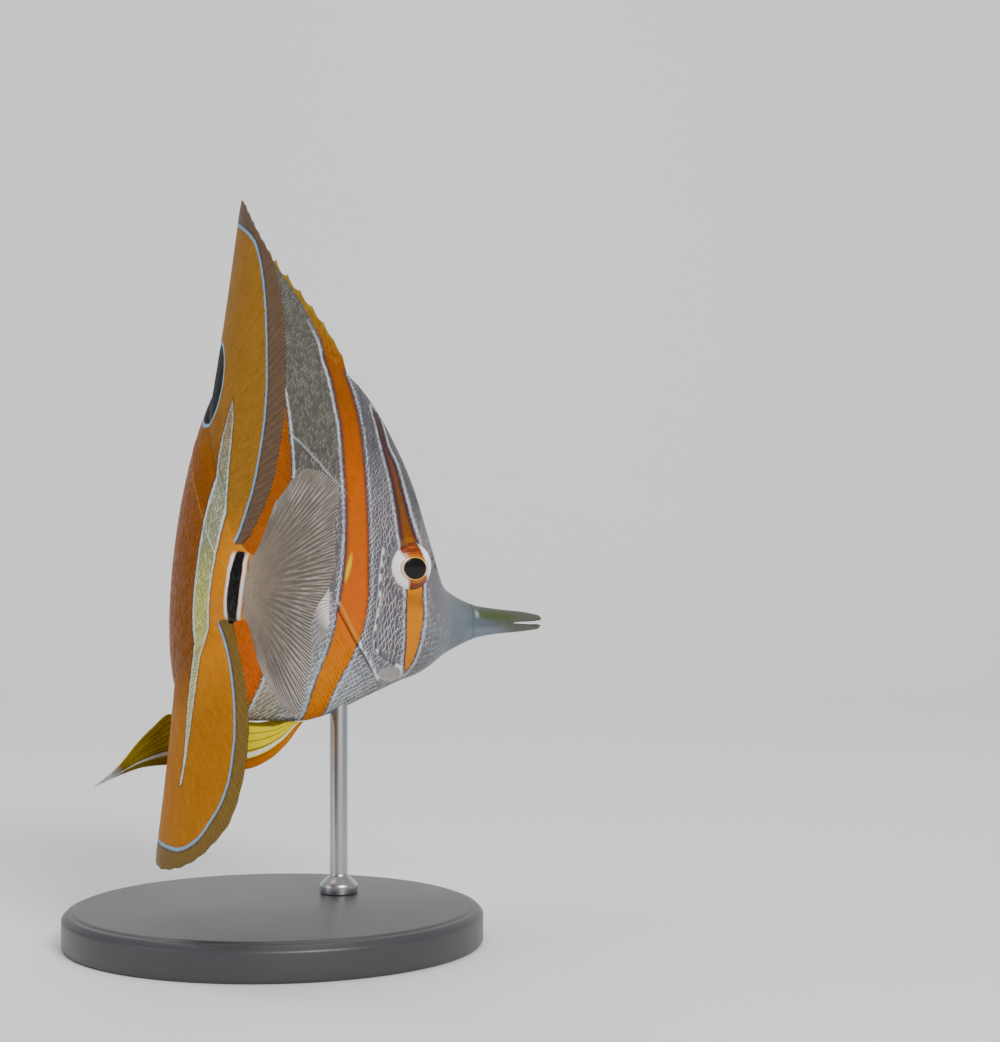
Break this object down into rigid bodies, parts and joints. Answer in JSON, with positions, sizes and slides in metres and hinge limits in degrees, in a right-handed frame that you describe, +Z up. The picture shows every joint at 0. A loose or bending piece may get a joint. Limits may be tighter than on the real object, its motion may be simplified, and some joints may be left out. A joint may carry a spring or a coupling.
{
  "type": "copperband butterflyfish model",
  "caption": "Life-size still model of a disc-shaped reef fish with a long thin snout, orange bands and an eyespot, curled to one side and held by a rod over a flat round base.",
  "frame": {"origin": "middle of the underside of the stand's base, on the surface it stands on", "axes": "+Z up; the picture's camera looks level along +Y, and the fish's head points towards +X and a little +Y"},
  "size_m": [0.1034, 0.1121, 0.1568],
  "materials": {
    "jaw_upper": "satin",
    "jaw_lower": "satin",
    "snout": "satin",
    "head": "satin",
    "trunk_front": "satin",
    "trunk_middle": "satin",
    "trunk_rear": "satin",
    "tail_stalk": "satin",
    "eye_right": "polished",
    "eye_left": "polished",
    "dorsal_spines": "satin",
    "dorsal_soft_front": "satin",
    "dorsal_soft_rear": "satin",
    "anal_spines": "satin",
    "anal_soft_front": "satin",
    "anal_soft_rear": "satin",
    "caudal_fin": "satin",
    "pectoral_fin_right": "satin",
    "pectoral_fin_left": "satin",
    "pelvic_fin_right": "satin",
    "pelvic_fin_left": "satin",
    "stand_base": "matte",
    "stand_rod": "brushed"
  },
  "bodies": {
    "root": {"jaw_upper": "jaw_upper", "jaw_lower": "jaw_lower", "snout": "snout", "head": "head", "trunk_front": "trunk_front", "trunk_middle": "trunk_middle", "trunk_rear": "trunk_rear", "tail_stalk": "tail_stalk", "eye_right": "eye_right", "eye_left": "eye_left", "dorsal_spines": "dorsal_spines", "dorsal_soft_front": "dorsal_soft_front", "dorsal_soft_rear": "dorsal_soft_rear", "anal_spines": "anal_spines", "anal_soft_front": "anal_soft_front", "anal_soft_rear": "anal_soft_rear", "caudal_fin": "caudal_fin", "pectoral_fin_right": "pectoral_fin_right", "pectoral_fin_left": "pectoral_fin_left", "pelvic_fin_right": "pelvic_fin_right", "pelvic_fin_left": "pelvic_fin_left", "stand_base": "stand_base", "stand_rod": "stand_rod"}
  },
  "joints": []
}
